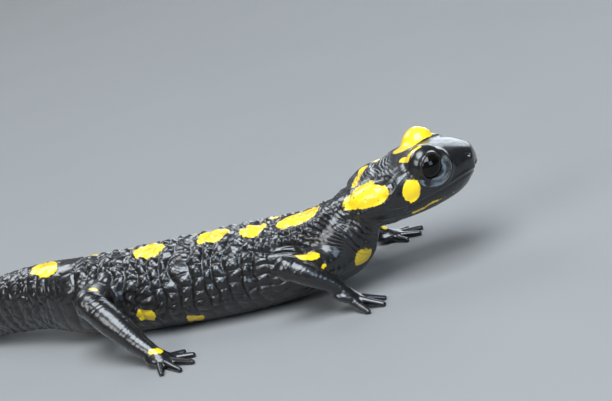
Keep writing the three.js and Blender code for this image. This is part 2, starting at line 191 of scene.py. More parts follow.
class Loft:
    """A tube of superellipse sections. It tells where a point lies along and round it, and how far out."""

    def __init__(self, centres, across, up, squareness):
        self.c, self.a, self.u, self.e = centres, across, up, squareness
        normal = np.cross(across, up)
        self.n = normal / length(normal)[:, None]
        self.d = np.gradient(centres, axis=0)
        self.last = len(centres) - 1
        self.run = np.concatenate([[0], np.cumsum(length(np.diff(centres, axis=0)))])

    def at(self, table, s):
        """Values between the rows of the table."""
        k = np.clip(s.astype(int), 0, self.last - 1)
        f = s - k
        if table.ndim == 2:
            f = f[:, None]
        return table[k] * (1 - f) + table[k + 1] * f

    def nearest(self, p):
        """A first guess at how far along each point lies, from every sixth centre, in batches."""
        every, batch = 6, 20000
        coarse = self.c[::every]
        found = np.empty(len(p))
        for i in range(0, len(p), batch):
            q = p[i:i + batch]
            square = (q * q).sum(1)[:, None] - 2 * q @ coarse.T + (coarse * coarse).sum(1)
            found[i:i + batch] = square.argmin(1) * every
        return np.clip(found, 0, self.last)

    def refine(self, p, s):
        """The guess moved to the section that each point lies in."""
        for _ in range(3):
            n = self.at(self.n, s)
            ahead = ((p - self.at(self.c, s)) * n).sum(1)
            speed = (self.at(self.d, s) * n).sum(1)
            s = np.clip(s + np.clip(ahead / np.maximum(speed, 0.05), -20, 20), 0, self.last)
        return s

    def measure(self, p, s):
        """(distance, angle round the section in radians) of points at s."""
        q = p - self.at(self.c, s)
        across, up = self.at(self.a, s), self.at(self.u, s)
        w, h = length(across), length(up)
        x, z = (q * across).sum(1) / w, (q * up).sum(1) / h
        rho = ((np.abs(x) / w) ** self.e + (np.abs(z) / h) ** self.e) ** (1 / self.e)
        out = np.hypot(x, z) * (1 - 1 / np.maximum(rho, 1e-4))
        beyond = np.abs((q * self.at(self.n, s)).sum(1))
        return np.hypot(np.maximum(out, 0), beyond) + np.minimum(out, 0), np.arctan2(z / h, x / w)

    def rings(self, every, sides):
        """Outlines of the sections, taking one centre in so many."""
        angle = np.linspace(0, 2 * math.pi, sides, endpoint=False)
        c, s = np.cos(angle), np.sin(angle)
        x = (np.sign(c) * np.abs(c) ** (2 / self.e))[None, :, None]
        z = (np.sign(s) * np.abs(s) ** (2 / self.e))[None, :, None]
        pick = slice(None, None, every)
        return self.c[pick, None] + self.a[pick, None] * x + self.u[pick, None] * z


# ------------------------------------------------------------------ the forms

head_turn = Euler((math.radians(HEAD_PLACE["roll"]), -math.radians(HEAD_PLACE["pitch"]),
                   math.radians(HEAD_PLACE["yaw"])), "XYZ").to_matrix()
HEAD_TURN = np.array(head_turn)
HEAD_AT = np.array([HEAD_PLACE["x"], HEAD_PLACE["y"], HEAD_PLACE["z"]])


def to_head(p):
    return (p - HEAD_AT) @ HEAD_TURN


def from_head(p):
    return np.asarray(p, float) @ HEAD_TURN.T + HEAD_AT


def body_loft():
    rows = [(x, y, (top + bottom) / 2, w, (top - bottom) / 2, lean)
            for x, y, top, bottom, w, lean in BODY]
    for x, w, top, bottom, lean in HEAD[:2]:
        c = from_head((x, 0, (top - bottom) / 2))
        rows.append((c[0], c[1], c[2], w, (top + bottom) / 2, lean))
    t = spline(rows, STATION * (len(rows) - 1) + 1)
    along = np.gradient(t[:, :3], axis=0) * (1, 1, 0)
    along /= length(along)[:, None]
    side = np.stack([-along[:, 1], along[:, 0], np.zeros(len(t))], 1)
    up = np.array([0, 0, 1.0]) * t[:, 4:5] - along * t[:, 5:6]
    return Loft(t[:, :3], side * t[:, 3:4], up, BODY_SQUARENESS)


def head_loft():
    t = spline(HEAD, STATION * (len(HEAD) - 1) + 1)
    x, w, top, bottom, lean = t.T
    nil = np.zeros(len(t))
    return Loft(np.stack([x, nil, (top - bottom) / 2], 1), np.stack([nil, w, nil], 1),
                np.stack([-lean, nil, (top + bottom) / 2], 1), HEAD_SQUARENESS)


body, skull = body_loft(), head_loft()


def chain(rows, per=5):
    """Points and radii along a smooth path."""
    t = spline(rows, per * (len(rows) - 1) + 1)
    return t[:, :3], t[:, 3]


def chain_distance(p, points, radii):
    """(distance to a chain of round cones, how far along it as 0 to 1), measured only near it."""
    far, margin = 50.0, 5
    out, along = np.full(len(p), far), np.zeros(len(p))
    reach = radii.max() + margin
    near = np.all((p > points.min(0) - reach) & (p < points.max(0) + reach), 1)
    q = p[near]
    best, where = np.full(len(q), far), np.zeros(len(q))
    for k in range(len(points) - 1):
        ab = points[k + 1] - points[k]
        t = np.clip(((q - points[k]) @ ab) / (ab @ ab), 0, 1)
        d = length(q - points[k] - t[:, None] * ab) - (radii[k] + t * (radii[k + 1] - radii[k]))
        closer = d < best
        best[closer], where[closer] = d[closer], (k + t[closer]) / (len(points) - 1)
    out[near], along[near] = best, where
    return out, along


def ellipsoid_distance(p, centre, turn, size):
    """Rough distance to an ellipsoid; turn's columns are its axes."""
    q = (p - centre) @ turn
    half = np.array(size) / 2
    k0, k1 = length(q / half), length(q / half**2)
    return k0 * (k0 - 1) / np.maximum(k1, 1e-6)


def spin(yaw=0, pitch=0):
    """Axes turned by yaw about z after pitch about y, in degrees."""
    return np.array(Euler((0, math.radians(pitch), math.radians(yaw)), "XYZ").to_matrix())


def foot_of(leg):
    """Palm and toes of a leg as (centre, axes) and chains."""
    x, y, z, _ = leg["path"][-1]
    digits = FINGERS if leg["front"] else TOES
    tilt = math.degrees(math.atan2(leg["arch"], PALM["size"][0]))
    palm = (np.array([x, y, z - PALM["sink"]]), spin(leg["heading"], tilt))
    toes = []
    for turn, reach in digits:
        yaw = math.radians(leg["heading"] + leg["side"] * turn)
        rows = []
        for k, (radius, height) in enumerate(zip(TOE_RADII, TOE_HEIGHTS)):
            r = reach * k / (len(TOE_RADII) - 1)
            rows.append((x + math.cos(yaw) * r, y + math.sin(yaw) * r,
                         height + leg["arch"] * (1 - k / (len(TOE_RADII) - 1)), radius))
        toes.append(chain(rows, 3))
    return palm, toes


for name, leg in LEGS.items():
    leg["front"] = name.startswith("front")
    leg["upper"] = chain(leg["path"][:3])
    leg["lower"] = chain(leg["path"][2:])
    leg["palm"], leg["toes"] = foot_of(leg)


def gland_distance(q):
    """Distance to the nearer of the two glands behind the eyes, from a place in the head's frame."""
    mirrored = q * (1, 0, 1) + np.abs(q) * (0, 1, 0)
    return ellipsoid_distance(mirrored, np.array(PAROTOID["place"]),
                              spin(PAROTOID["toe"], -PAROTOID["tilt"]), PAROTOID["size"])


def skin_field(p, s_body, s_head, parts=False):
    """Distance out from the smooth skin, without its folds. Each form melts into its neighbour."""
    s_body = body.refine(p, s_body)
    d_body, angle = body.measure(p, s_body)
    q = to_head(p)
    s_head = skull.refine(q, s_head)
    d_head, _ = skull.measure(q, s_head)
    d_head = -smooth_union(-d_head, SNOUT_TIP["end"] - q[:, 0], BLEND["muzzle"])
    total = smooth_union(d_body, d_head, BLEND["neck"])
    for side in (1, -1):
        x, y, z = LID["place"]
        lid = length(q - np.array([x, side * y, z])) - LID["radius"]
        x, y, z = EYE["place"]
        eyelid = length(q - np.array([x, side * y, z])) - EYELID
        total = smooth_union(total, smooth_union(lid, eyelid, BLEND["eyelid"]), BLEND["lid"])
    total = smooth_union(total, gland_distance(q), BLEND["gland"])
    snout = length(q - np.array(SNOUT_TIP["place"])) - SNOUT_TIP["radius"]
    total = smooth_union(total, snout, BLEND["snout"])
    limbs, alongs = [], []
    for leg in LEGS.values():
        upper, t_upper = chain_distance(p, *leg["upper"])
        lower, t_lower = chain_distance(p, *leg["lower"])
        limb = smooth_union(upper, lower, BLEND["knee"])
        foot = ellipsoid_distance(p, *leg["palm"], PALM["size"])
        for points, radii in leg["toes"]:
            foot = smooth_union(foot, chain_distance(p, points, radii)[0], BLEND["toe"])
        total = smooth_union(total, limb, BLEND["leg"])
        total = smooth_union(total, foot, BLEND["foot"])
        limbs.append(np.minimum(limb, foot))
        alongs.append(np.where(upper < lower, t_upper * 0.5, 0.5 + t_lower * 0.5))
    if not parts:
        return total
    return dict(body=d_body, head=d_head, limbs=limbs, alongs=alongs, angle=angle, s_body=s_body, q=q)


# ------------------------------------------------------------------ the skin's first mesh


def ring_mesh(rings):
    """Vertices and faces of a closed tube through the rings."""
    n, sides = rings.shape[:2]
    v = np.vstack([rings.reshape(-1, 3), rings[0].mean(0), rings[-1].mean(0)])
    k = np.arange(sides)
    j = (k + 1) % sides
    quads = np.concatenate([
        np.stack([r * sides + k, r * sides + j, (r + 1) * sides + j, (r + 1) * sides + k], 1)
        for r in range(n - 1)])
    caps = [(n * sides, b, a) for a, b in zip(k, j)]
    caps += [(n * sides + 1, (n - 1) * sides + a, (n - 1) * sides + b) for a, b in zip(k, j)]
    return v, quads.tolist() + caps


def tube_rings(points, radii, sides=14):
    """Rings round a path, with round ends."""
    along = np.gradient(points, axis=0)
    along /= length(along)[:, None]

    def cap(at, sign, degrees):
        return [(points[at] + along[at] * sign * radii[at] * math.sin(math.radians(a)), along[at],
                 radii[at] * math.cos(math.radians(a))) for a in degrees]

    centres = cap(0, -1, (75, 50, 25)) + list(zip(points, along, radii)) + cap(-1, 1, (25, 50, 75))
    angle = np.linspace(0, 2 * math.pi, sides, endpoint=False)
    rings = []
    for c, a, r in centres:
        upright = abs(a[2]) >= 0.95
        side = np.cross((0, 1, 0) if upright else (0, 0, 1), a)
        side /= np.linalg.norm(side)
        up = np.cross(a, side)
        rings.append(c + r * (np.cos(angle)[:, None] * side + np.sin(angle)[:, None] * up))
    return np.array(rings)


def ball_rings(centre, turn, size, count=14, sides=20):
    """Rings round an ellipsoid along its own x, closed just short of its two ends."""
    short = 0.08
    polar = np.linspace(short, math.pi - short, count)
    angle = np.linspace(0, 2 * math.pi, sides, endpoint=False)
    rings = np.stack([np.broadcast_to(-np.cos(polar)[:, None], (count, sides)),
                      np.sin(polar)[:, None] * np.cos(angle), np.sin(polar)[:, None] * np.sin(angle)], 2)
    return (rings * np.array(size) / 2) @ turn.T + centre


def first_forms():
    """Rings of every form that the skin covers."""
    forms = [body.rings(8, 40), from_head(skull.rings(8, 36))]
    for side in (1, -1):
        x, y, z = LID["place"]
        forms.append(ball_rings(from_head((x, side * y, z)), np.eye(3), [2 * LID["radius"]] * 3))
        x, y, z = EYE["place"]
        forms.append(ball_rings(from_head((x, side * y, z)), np.eye(3), [2 * EYELID] * 3))
        x, y, z = PAROTOID["place"]
        turn = HEAD_TURN @ np.diag([1, side, 1]) @ spin(PAROTOID["toe"], -PAROTOID["tilt"])
        forms.append(ball_rings(from_head((x, side * y, z)), turn, PAROTOID["size"]))
    for leg in LEGS.values():
        forms += [tube_rings(*leg["upper"]), tube_rings(*leg["lower"])]
        forms.append(ball_rings(*leg["palm"], PALM["size"]))
        forms += [tube_rings(*toe, sides=10) for toe in leg["toes"]]
    return forms


def make_object(name, vertices, faces):
    mesh = bpy.data.meshes.new(name)
    mesh.from_pydata(vertices.tolist(), [], faces)
    obj = bpy.data.objects.new(name, mesh)
    bpy.context.scene.collection.objects.link(obj)
    return obj


def outward(rings):
    """The rings in the order that makes their faces point out."""
    v, faces = ring_mesh(rings)
    quads = np.array(faces[:-2 * rings.shape[1]])
    a, b, c, d = (v[quads[:, k]] for k in range(4))
    volume = (a * np.cross(b, c)).sum() + (a * np.cross(c, d)).sum()
    return (v, faces) if volume > 0 else ring_mesh(rings[::-1])


def voxel_skin():
    """All the forms in one mesh of even quads."""
    vertices, faces, count = [], [], 0
    for rings in first_forms():
        v, f = outward(rings)
        vertices.append(v)
        faces += [[i + count for i in face] for face in f]
        count += len(v)
    obj = make_object("skin", np.vstack(vertices), faces)
    remesh = obj.modifiers.new("even", "REMESH")
    remesh.mode = "VOXEL"
    remesh.voxel_size = VOXEL
    depsgraph = bpy.context.evaluated_depsgraph_get()
    even = bpy.data.meshes.new_from_object(obj.evaluated_get(depsgraph))
    obj.modifiers.clear()
    old = obj.data
    obj.data = even
    bpy.data.meshes.remove(old)
    return obj


def read(mesh):
    """(places of the vertices, pairs of vertices with an edge between them)."""
    p = np.empty(len(mesh.vertices) * 3)
    mesh.vertices.foreach_get("co", p)
    edges = np.empty(len(mesh.edges) * 2, int)
    mesh.edges.foreach_get("vertices", edges)
    return p.reshape(-1, 3), edges.reshape(-1, 2)


def normals(mesh, p):
    """Normals of the mesh with its vertices at p."""
    mesh.vertices.foreach_set("co", p.ravel())
    mesh.update()
    n = np.empty(len(p) * 3)
    mesh.vertex_normals.foreach_get("vector", n)
    return n.reshape(-1, 3)


def relaxed(values, edges, rounds, share=0.5):
    """Values moved towards their neighbours' mean."""
    n = len(values)
    both = np.concatenate([edges, edges[:, ::-1]])
    count = np.bincount(both[:, 0], minlength=n)
    for _ in range(rounds):
        mean = np.stack([np.bincount(both[:, 0], values[both[:, 1], k], n)
                         for k in range(values.shape[1])], 1)
        values = values + share * (mean / count[:, None] - values)
    return values


def settle(p, s_body, s_head, rounds):
    """Moves points onto the smooth skin."""
    probe, longest = 0.05, 0.6
    for _ in range(rounds):
        here = skin_field(p, s_body, s_head)
        slope = np.stack([skin_field(p + probe * axis, s_body, s_head) - here
                          for axis in np.eye(3)], 1) / probe
        way = np.clip(here / np.maximum((slope**2).sum(1), 0.2), -longest, longest)
        p = p - way[:, None] * slope
    return p


skin = voxel_skin()
p, edges = read(skin.data)
s_body, s_head = body.nearest(p), skull.nearest(to_head(p))
p = relaxed(p, edges, 4)
p = settle(p, s_body, s_head, 2)
p = relaxed(p, edges, 2)
p = settle(p, s_body, s_head, 1)

# ------------------------------------------------------------------ where each point lies

skin_normals = normals(skin.data, p)
form = skin_field(p, s_body, s_head, parts=True)
q = form["q"]                                            # in the head's frame
s_body = form["s_body"]
angle = np.where(form["angle"] < -math.pi / 2, form["angle"] + 2 * math.pi, form["angle"])
along = np.interp(s_body, np.arange(body.last + 1), body.run)          # mm from the tail's tip
girth = (length(body.at(body.a, s_body)) + length(body.at(body.u, s_body))) / 2
round_mm = angle * girth                                 # mm round from the animal's left side
from_spine = (angle - math.pi / 2) * girth               # mm round from the middle of the back
row = s_body / STATION


def run_at(row_of_body):
    return float(body.run[int(row_of_body * STATION)])


def off_line(degrees):
    """mm round the body from a line along it, drawn on both sides; degrees up from the left side."""
    mirrored = np.where(np.cos(angle) > 0, angle, math.pi - angle)
    return (mirrored - math.radians(degrees)) * girth


def ridges(phase, roundness):
    """Rounded folds side by side: 1 on each crest and 0 in each crease."""
    return np.abs(np.sin(math.pi * phase)) ** roundness


def domes(place, size, shift):
    """Rounded grains packed together: 1 in the middle of each and 0 in the gaps."""
    near, second = cells(place, size, shift)
    return step(0.0, 0.34, second - near) * (1 - 0.6 * near**2)


def hump(distance, width):
    """1 at no distance, falling to nothing over about twice the width."""
    return np.exp(-(distance / width) ** 2)


def hollowness(p, n, edges):
    """Curvature of the smooth skin in 1/mm, more than 0 in its hollows."""
    a, b = edges.T
    way = p[b] - p[a]
    bend = ((n[a] - n[b]) * way).sum(1) / np.maximum((way * way).sum(1), 1e-6)
    count = np.bincount(a, minlength=len(p)) + np.bincount(b, minlength=len(p))
    total = np.bincount(a, bend, len(p)) + np.bincount(b, bend, len(p))
    return relaxed((total / count)[:, None], edges, 12)[:, 0]


# how much of each form a point is, from 0 to 1
nearness = np.stack([form["body"], form["head"], *form["limbs"]], 1)
SOFTNESS = 0.7                              # mm over which one form hands over to the next
share = np.exp(-(nearness - nearness.min(1)[:, None]) / SOFTNESS)
share /= share.sum(1)[:, None]
is_body, is_head, is_limb = share[:, 0], share[:, 1], share[:, 2:].sum(1)

# ------------------------------------------------------------------ markings

# On the trunk and tail: x along the animal, degrees round it (0 left, 90 top, 180 right), half
# length, half height, and turn. The two rows differ, as they do on the animal.
BODY_SPOTS = [
    (-33.9, 99, 4.4, 2.9, 35), (-9.3, 96, 3.9, 3.1, 25), (4.6, 94, 3.7, 2.8, 20),
    (14.2, 103, 2.8, 2.1, 15), (24.8, 100, 5.3, 2.5, -6), (-10.9, 196, 1.9, 1.4, 15),
    (-1.3, 218, 1.8, 1.2, 5), (-49.0, 112, 3.0, 1.7, 4), (-59.5, 104, 2.6, 1.8, -6),
    (-71.5, 112, 3.0, 1.3, 0), (-83.5, 98, 2.2, 1.1, 0), (-38.5, 54, 3.1, 1.7, -5),
    (-24.0, 58, 2.2, 2.4, 0), (-14.5, 54, 3.2, 2.0, 12), (-1.6, 50, 2.6, 2.2, -10),
    (17.6, 72, 1.3, 1.0, 0), (9.0, 50, 2.8, 1.9, 5), (24.0, 54, 3.8, 1.9, -8),
    (-52.5, 66, 3.0, 1.7, 6), (-65.5, 72, 2.6, 1.5, 0), (-77.5, 64, 2.4, 1.2, 0),
    (-89.0, 88, 1.6, 0.9, 0), (-15.0, -12, 1.9, 1.3, -15), (-3.0, -22, 1.5, 1.0, 0),
    (8.0, -8, 2.2, 1.2, 10), (20.5, -16, 1.6, 1.3, 0),
]
# On the neck and legs: a place and radii in the row frame
PLACED_SPOTS = [
    ((35.3, -6.2, 7.4), (1.7, 4.0, 2.1)), ((36.4, 8.6, 8.8), (1.7, 3.5, 1.7)),
    ((26.4, -11.3, 12.2), (2.8, 2.2, 1.2)), ((29.3, -11.9, 9.3), (0.6, 0.9, 0.5)),
    ((27.0, 11.5, 12.2), (2.4, 1.7, 1.7)), ((28.0, 18.9, 7.2), (1.5, 1.3, 1.5)),
    ((-17.6, -13.6, 14.8), (1.2, 1.2, 0.7)), ((-20.6, 13.2, 12.2), (1.9, 2.3, 1.6)),
    ((-25.4, 19.6, 7.6), (1.2, 1.5, 1.4)), ((-4.6, -22.6, 3.0), (1.3, 1.0, 0.9)),
    ((32.2, 20.4, 3.0), (1.0, 1.1, 0.8)),
]
# On the head, in its own frame: place, radii, and turn about y in degrees
HEAD_SPOTS = [
    ((12.15, -9.4, 2.45), (1.65, 4.0, 2.2), 15), ((4.2, -7.0, 2.95), (4.3, 8.0, 1.75), -9),
    ((1.4, -7.0, 2.1), (2.9, 8.0, 0.95), -12),
    ((12.9, 9.4, 2.4), (2.0, 4.0, 1.9), -12), ((5.2, 8.6, 2.6), (4.6, 3.4, 2.0), -10),
    ((7.4, 6.6, 4.9), (1.2, 1.6, 1.5), 0),
]
# streaks and the patches over the eyes: two ends and their radii
HEAD_STREAKS = [
    ((19.7, -6.2, -1.4), (15.4, -7.9, -1.6), 0.15, 0.42),
    ((15.4, -7.9, -1.6), (11.4, -8.2, -2.5), 0.42, 0.36),
    ((18.5, 6.2, -1.6), (14.0, 7.9, -1.9), 0.5, 0.4),
    ((1.9, -1.7, 4.1), (4.2, 4.6, 4.5), 0.8, 1.1),
    ((13.0, 3.2, 7.2), (17.0, 5.2, 8.6), 2.6, 2.7),
    ((12.2, -3.4, 6.9), (13.1, -6.2, 7.8), 0.85, 0.95),
    ((13.4, -6.2, 8.3), (16.0, -6.4, 9.4), 0.5, 0.4),
]
# mm that a spot's edge wanders on the body and where it is placed; the head's are shares of the latter
WARP = dict(body=0.9, placed=0.7, head=0.8, streak=0.2)
WARP_GRAIN = 2.6                            # mm from one bay of the edge to the next
SPOT_SQUARENESS = 2.3
NO_SPOT = -3.0                              # the marking's value well away from any spot

bend_along, bend_round = grain(p, WARP_GRAIN, 21.0), grain(p, WARP_GRAIN, 33.0)
marking = np.full(len(p), NO_SPOT)          # mm into a yellow patch, less than 0 outside
for x, degrees, long_half, high_half, turn in BODY_SPOTS:
    du = along - float(np.interp(x, body.c[:, 0], body.run)) + WARP["body"] * bend_along
    turned = np.mod(angle - math.radians(degrees) + math.pi, 2 * math.pi) - math.pi
    dv = turned * girth + WARP["body"] * bend_round
    c, s = math.cos(math.radians(turn)), math.sin(math.radians(turn))
    long_way, high_way = np.abs((du * c + dv * s) / long_half), np.abs((dv * c - du * s) / high_half)
    size = (long_way ** SPOT_SQUARENESS + high_way ** SPOT_SQUARENESS) ** (1 / SPOT_SQUARENESS)
    inside = (1 - size) * min(long_half, high_half)
    marking = np.where(is_limb < 0.6, np.maximum(marking, inside), marking)
wander = WARP["placed"] * np.stack([bend_along, bend_round, grain(p, WARP_GRAIN, 45.0)], 1)
for place, radii in PLACED_SPOTS:
    size = length((p + wander - np.array(place)) / np.array(radii))
    marking = np.maximum(marking, (1 - size) * min(radii))
for place, radii, turn in HEAD_SPOTS:
    size = length(((q + WARP["head"] * wander - np.array(place)) @ spin(0, turn)) / np.array(radii))
    marking = np.maximum(marking, (1 - size) * min(radii))
for start, end, first, last in HEAD_STREAKS:
    away, _ = chain_distance(q + WARP["streak"] * wander, np.array([start, end]), np.array([first, last]))
    marking = np.maximum(marking, -away)
smooth_patch = 1 - 0.55 * step(-0.2, 0.4, marking)       # the yellow skin is smoother

# ------------------------------------------------------------------ folds, grains and lids

flank = step(0.12, 0.55, np.abs(np.cos(angle)))
back = step(0.1, 0.75, np.sin(angle))
belly = step(0.25, 0.8, -np.sin(angle))
trunk = within(VENT + 0.3, SHOULDERS - 1.4, row, 0.5) * is_body
shoulder = within(SHOULDERS - 2.0, NECK + 2, row, 0.7) * np.maximum(is_body, is_head * (q[:, 0] < 6))
tail = (1 - step(VENT - 0.8, VENT + 0.4, row)) * is_body

gland_out = gland_distance(q)

lift = np.zeros(len(p))                                  # mm out along the normal

# upright folds of the flank, each a column of swollen pads
drift = grain(p, 6.0, 3.1)
fold = (along - run_at(HIPS)) / FOLD + 0.55 * drift + 0.26 * grain(p, 3.4, 14.6)
column = np.floor(fold)
pads = ridges(round_mm / PAD + 0.37 * column + 0.35 * grain(p, 4.0, 8.2), 0.8)
swelling = ridges(fold, 0.75) * (0.4 + 0.6 * pads)
on_side = (flank + 0.45 * back * (1 - flank)) * (1 - belly)
lift += HEIGHT["fold"] * (swelling - 0.62) * on_side * trunk * smooth_patch
flat_place = np.stack([along + 0.6 * drift, round_mm, np.zeros(len(p))], 1)
for region, shift, mask in (("flank", 5.7, flank * trunk * smooth_patch),
                            ("back", 2.4, back * (trunk + shoulder) * smooth_patch),
                            ("belly", 4.1, belly * (trunk + shoulder)),
                            ("tail", 1.9, tail * smooth_patch)):
    lift += HEIGHT[region + "_grain"] * (domes(flat_place, GRAINS[region], shift) - 0.6) * mask

# rings of the tail
ring = ridges((along + 0.9 * drift) / TAIL_RING, 0.7)
lift += HEIGHT["tail_ring"] * (ring - 0.7) * tail * (0.4 + 0.6 * flank)

creases = []                     # (phase, depth in mm) of each field of wrinkles too fine for the mesh

# folds of the neck and shoulder, fanning up and back from low on the chest
inwards = FAN["y"] - np.abs(p[:, 1])
fan_rise = p[:, 2] + FAN["rise"] * inwards - FAN["z"]
fan_back = FAN["x"] - p[:, 0] - FAN["forward"] * inwards
fan = np.arctan2(fan_rise, fan_back)
fan_phase = fan / FAN["spacing"] + 0.45 * grain(p, 3.2, 7.7)
side_of_neck = step(0.25, 0.6, np.abs(np.cos(angle))) * (1 - step(0.45, 0.85, -np.sin(angle)))
broken = 0.70 + 0.30 * grain(p, 1.6, 2.2)
fan_out = np.hypot(fan_rise, fan_back)
fan_place = shoulder * side_of_neck * step(0.2, 1.2, gland_out) * step(4.5, 8.0, fan_out)
fan_wide = step(8.5, 13.0, fan_out)
lift += HEIGHT["neck_fold"] * (ridges(fan_phase, 0.7) * broken - 0.42) * fan_place * fan_wide * smooth_patch
creases.append((fan_phase, CREASE["neck"] * broken * fan_place))

# rows of beads along each side, over the foreleg
for degrees, first, last in BEAD_ROWS:
    pitch = np.mod(along + 0.25 * drift, BEAD) - BEAD / 2
    off = off_line(degrees)
    here = within(first, last, row, 0.25) * is_body * (1 - step(-0.4, 0.2, marking))
    lift *= 1 - 0.85 * hump(off, 0.9) * here
    bead, groove = hump(np.hypot(pitch, off), 0.60), hump(off + 1.0, 0.45)
    lift += (HEIGHT["bead"] * bead - HEIGHT["bead_groove"] * groove) * here

# the pocket over each elbow, between the upper arm and the ribs
for side in (1, -1):
    x, y, z = ARMPIT
    lift -= HEIGHT["armpit"] * hump(length(p - (x, side * y, z)), 2.4) * is_body

# two rows of gland pores beside the spine, and a faint furrow between them
pitch = np.mod(along, SPINE_PORE["every"]) - SPINE_PORE["every"] / 2
for side in (-1, 1):
    pore = hump(np.hypot(pitch, from_spine - side * SPINE_PORE["beside"]), 0.42)
    lift += HEIGHT["spine_pore"] * pore * (trunk + shoulder) * is_body
lift -= HEIGHT["spine_furrow"] * hump(from_spine, 0.8) * trunk

# fold across the throat
x_head, y_head, z_head = q.T
gular = hump(x_head - 3.4 - 0.012 * y_head**2, 0.8) * (z_head < -1) * within(-9.5, 9.5, y_head, 1.5)
lift -= HEIGHT["throat_fold"] * gular * np.maximum(is_head, is_body)

# legs: soft wrinkles across, deeper inside the bends
for k, leg in enumerate(LEGS.values()):
    s = form["alongs"][k]
    wrinkle = grain(np.stack([s * 30 / 0.9, p[:, 1] / 2.2, p[:, 2] / 2.2], 1), 1.0, 4.4 + k)
    bend = hump(s - 0.5, 0.07)
    on_leg = step(0.55, 0.95, share[:, 2 + k])
    lift -= HEIGHT["leg_wrinkle"] * (1 - step(0, 0.4, np.abs(wrinkle))) * (0.7 + 2 * bend) * on_leg

# behind the eyes the temples are creased across, and the cheeks and throat along the head
behind = is_head * (1 - step(8.0, 10.5, x_head)) + shoulder * (x_head > -1) * is_body
temple = behind * step(2.6, 4.4, z_head) * step(0.3, 1.0, gland_out)
temple_phase = (x_head - 0.25 * np.abs(y_head)) / TEMPLE_CREASE + 0.5 * grain(q, 2.2, 6.1)
lift += HEIGHT["temple"] * (ridges(temple_phase, 0.8) - 0.6) * temple
creases.append((temple_phase, CREASE["temple"] * temple))
under = is_head * (1 - step(9.5, 12.5, x_head)) * (1 - step(-0.6, 1.0, z_head))
throat_phase = (z_head + 0.10 * x_head) / THROAT_CREASE + 0.6 * grain(q, 2.6, 8.8)
lift += HEIGHT["throat"] * (ridges(throat_phase, 0.6) - 0.7) * under
creases.append((throat_phase, CREASE["throat"] * under))
lift += HEIGHT["head_grain"] * grain(q, 1.4, 3.3) * is_head

for side in (1, -1):
    mirror = np.array([1, side, 1])
    # a smooth ridge runs from behind the eye down to the gland
    ridge, _ = chain_distance(q * mirror, np.array(TEMPLE_RIDGE), np.array([0.5, 0.7]))
    lift += HEIGHT["temple_ridge"] * hump(np.maximum(ridge, 0), 0.6) * is_head
    # the eye sits in a groove with a raised rim before and below it
    offset = q * mirror - np.array(EYE["place"])
    depth = offset @ EYE_AXIS
    ring = np.sqrt(np.maximum((offset * offset).sum(1) - depth**2, 0))
    low_front = step(-0.5, 1.6, 0.75 * offset[:, 0] - offset[:, 2]) * step(-3.5, -1.5, depth) * is_head
    raised, sunk = hump(ring - RIM["ridge"], 0.60), hump(ring - RIM["groove"], 0.36)
    lift += (HEIGHT["eye_rim"] * raised - HEIGHT["eye_groove"] * sunk) * low_front
    # nostril
    away = length(q * mirror - np.array(NOSTRIL))
    lift += HEIGHT["nostril_rim"] * hump(away - 0.8, 0.35) - HEIGHT["nostril"] * hump(away, 0.45)

# mouth: the upper lip overhangs the jaw, with a slit between them
lip = spline(MOUTH, 200)
below = np.interp(x_head, lip[:, 0], lip[:, 1]) - z_head
corner = MOUTH[0][0]
in_mouth = step(corner, corner + 1.2, x_head) * is_head * (1 - 0.75 * step(22.5, 25.5, x_head))
lift -= HEIGHT["lip"] * in_mouth * step(-0.15, 0.45, below) * (1 - step(0.9, 3.4, below))
lift -= HEIGHT["slit"] * in_mouth * hump(below - 0.12, 0.36)
slit = np.clip(in_mouth * 1.5 * hump(below - 0.1, 0.9), 0, 1)
lift += HEIGHT["jaw"] * in_mouth * hump(below + 0.48, 0.40)

# glands behind the eyes: pores, and a furrow round each
lift -= HEIGHT["gland_furrow"] * hump(gland_out - 0.55, 0.38) * np.maximum(is_head, is_body)
near, _ = cells(q, 1.2, 2.9)
lift -= HEIGHT["gland_pore"] * (1 - step(0.10, 0.26, near)) * (1 - step(0.1, 0.5, gland_out))

# in a hollow the folds flatten, so that they cannot run into each other
hollow = step(0.04, 0.22, hollowness(p, skin_normals, edges))
hollow = hollow * (1 - is_head * step(7.0, 9.0, x_head))
lift *= 1 - 0.92 * hollow

# each point keeps the deepest field of fine wrinkles, down to nothing where two of them meet
depths = np.stack([depth for _, depth in creases], 1)
order = np.sort(depths, 1)
crease_depth = order[:, -1] - order[:, -2]
crease_phase = np.stack([phase for phase, _ in creases], 1)[np.arange(len(p)), depths.argmax(1)]

p = p + lift[:, None] * skin_normals

